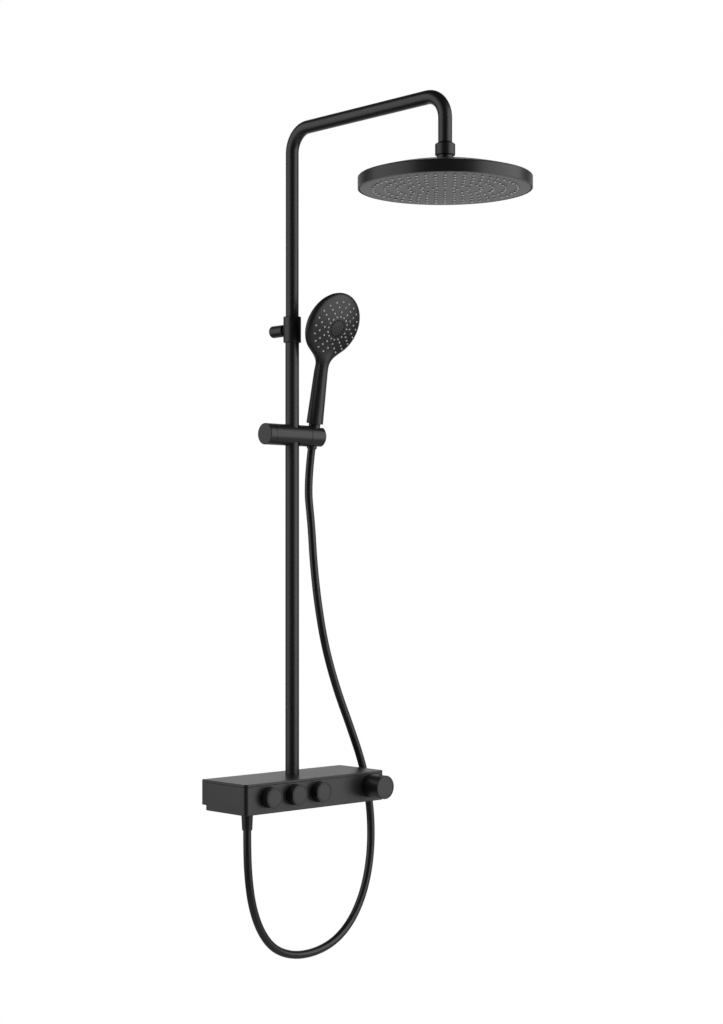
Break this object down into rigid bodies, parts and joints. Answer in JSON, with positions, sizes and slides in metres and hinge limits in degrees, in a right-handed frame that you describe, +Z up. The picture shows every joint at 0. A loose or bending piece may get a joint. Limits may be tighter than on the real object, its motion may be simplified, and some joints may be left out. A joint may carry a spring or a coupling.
{
  "type": "rainfall shower column",
  "caption": "Wall-mounted matte black shower column: shelf mixer with push buttons and temperature knob, telescopic riser, swivel arm, round rain head, and hand shower on a slider with a hose.",
  "frame": {"origin": "on the wall plane, midway between the two water inlets", "axes": "+Z up along the riser, +Y into the wall, +X to the right seen from the front"},
  "size_m": [0.3678, 0.561, 1.4575],
  "materials": {
    "black_metal": "fine matte black coating on metal",
    "black_plastic": "satin black moulded plastic",
    "hose_black": "smooth satin black hose skin",
    "silicone_grey": "soft grey silicone",
    "brass": "machined brass",
    "steel": "plain steel",
    "white_plastic": "natural engineering plastic",
    "seal_rubber": "black rubber"
  },
  "bodies": {
    "column": {"mixer_housing": "black_metal", "shelf_top": "black_metal", "back_plate": "black_metal", "cover_screws": "steel", "valve_manifold": "brass", "inlet_nuts": "brass", "inlet_washers": "seal_rubber", "inlet_strainers": "steel", "shut_off_valves": "white_plastic", "button_guides": "white_plastic", "button_spring_left": "steel", "button_spring_middle": "steel", "button_spring_right": "steel", "thermostat_cartridge": "white_plastic", "temperature_stop_ring": "white_plastic", "riser_gasket": "seal_rubber", "lower_riser_tube": "black_metal", "riser_nut": "brass", "bracket_collar": "black_metal", "bracket_standoff": "black_metal", "bracket_wall_base": "black_plastic", "hose_outlet": "brass", "hose_nut_lower": "black_metal", "hose_loop": "hose_black"},
    "temperature_spindle": {"temperature_spindle": "white_plastic"},
    "temperature_knob": {"temperature_knob": "black_metal", "knob_hub": "brass", "knob_screw": "steel", "knob_cap": "black_metal", "catch_spring": "steel"},
    "safety_catch": {"safety_catch": "black_plastic"},
    "push_button_left": {"push_button_left": "black_metal"},
    "push_button_middle": {"push_button_middle": "black_metal"},
    "push_button_right": {"push_button_right": "black_metal"},
    "telescope": {"telescope_bush": "white_plastic", "telescope_seals": "seal_rubber"},
    "arm": {"arm_pipe": "black_metal", "ball_connector": "black_metal"},
    "head_swivel": {"ball_seat": "white_plastic"},
    "rain_head": {"swivel_nut": "black_metal", "rain_head_shell": "black_metal", "rain_head_face": "black_plastic", "rain_nozzles": "silicone_grey", "rain_head_gasket": "seal_rubber", "flow_regulator": "white_plastic"},
    "slider_carriage": {"slider_bushes": "white_plastic"},
    "slider": {"slider_body": "black_metal", "cradle_pin": "steel", "hose_at_slider": "hose_black"},
    "lock_knob": {"lock_knob": "black_metal", "lock_screw": "steel"},
    "clamp_pad": {"clamp_pad": "white_plastic"},
    "cradle": {"cradle": "black_metal", "hose_at_cradle": "hose_black"},
    "handset": {"handset_shell": "black_plastic", "handset_face": "black_plastic", "handset_nozzles": "silicone_grey", "handset_core": "white_plastic", "hose_nut_upper": "black_metal", "hose_at_grip": "hose_black"}
  },
  "joints": [
    {"name": "telescope_slide", "type": "slide", "parent": "column", "child": "telescope", "axis": [0, 0, 1], "range_m": [-0.1, 0.1]},
    {"name": "arm_swivel", "type": "hinge", "parent": "telescope", "child": "arm", "pos_m": [0, -0.05, 1.1445], "axis": [0, 0, 1], "range_deg": [-60, 60]},
    {"name": "head_turn", "type": "hinge", "parent": "arm", "child": "head_swivel", "pos_m": [0, -0.421, 1.054], "axis": [0, 0, 1], "continuous": true},
    {"name": "head_tilt", "type": "hinge", "parent": "head_swivel", "child": "rain_head", "pos_m": [0, -0.421, 1.054], "axis": [1, 0, 0], "range_deg": [-10, 10]},
    {"name": "slider_slide", "type": "slide", "parent": "column", "child": "slider_carriage", "axis": [0, 0, 1], "range_m": [-0.28, 0.1], "deforming": ["hose_loop"]},
    {"name": "slider_swivel", "type": "hinge", "parent": "slider_carriage", "child": "slider", "pos_m": [0, -0.05, 0.6141], "axis": [0, 0, 1], "range_deg": [-60, 20], "deforming": ["hose_at_slider"]},
    {"name": "lock_turn", "type": "hinge", "parent": "slider", "child": "lock_knob", "pos_m": [-0.055, -0.05, 0.6141], "axis": [1, 0, 0], "range_deg": [-720, 0]},
    {"name": "clamp_slide", "type": "slide", "parent": "slider", "child": "clamp_pad", "axis": [1, 0, 0], "range_m": [-0.0021, 0]},
    {"name": "cradle_tilt", "type": "hinge", "parent": "slider", "child": "cradle", "pos_m": [0.0488, -0.05, 0.6141], "axis": [1, 0, 0], "range_deg": [-4, 25], "deforming": ["hose_at_cradle"]},
    {"name": "handset_lift", "type": "slide", "parent": "cradle", "child": "handset", "axis": [0, -0.1788, 0.9839], "range_m": [0, 0.045], "deforming": ["hose_at_grip"]},
    {"name": "press_left", "type": "slide", "parent": "column", "child": "push_button_left", "axis": [0, 1, 0], "range_m": [0, 0.004], "stiffness_N_per_m": 600, "springref_m": -0.002, "deforming": ["button_spring_left"]},
    {"name": "press_middle", "type": "slide", "parent": "column", "child": "push_button_middle", "axis": [0, 1, 0], "range_m": [0, 0.004], "stiffness_N_per_m": 600, "springref_m": -0.002, "deforming": ["button_spring_middle"]},
    {"name": "press_right", "type": "slide", "parent": "column", "child": "push_button_right", "axis": [0, 1, 0], "range_m": [0, 0.004], "stiffness_N_per_m": 600, "springref_m": -0.002, "deforming": ["button_spring_right"]},
    {"name": "temperature_turn", "type": "hinge", "parent": "column", "child": "temperature_knob", "pos_m": [0.127, -0.134, -0.001], "axis": [0, -1, 0], "range_deg": [-200, 80]},
    {"name": "spindle_slide", "type": "slide", "parent": "column", "child": "temperature_spindle", "axis": [0, -1, 0], "range_m": [-0.0025, 0.0015]},
    {"name": "catch_press", "type": "slide", "parent": "temperature_knob", "child": "safety_catch", "axis": [0, 0, -1], "range_m": [0, 0.002], "stiffness_N_per_m": 600, "springref_m": -0.001, "deforming": ["catch_spring"]}
  ],
  "couplings": [
    {"joint": "clamp_slide", "follows": "lock_turn", "m_per_rad": 0.00015915},
    {"joint": "spindle_slide", "follows": "temperature_turn", "m_per_rad": 0.00063662}
  ]
}
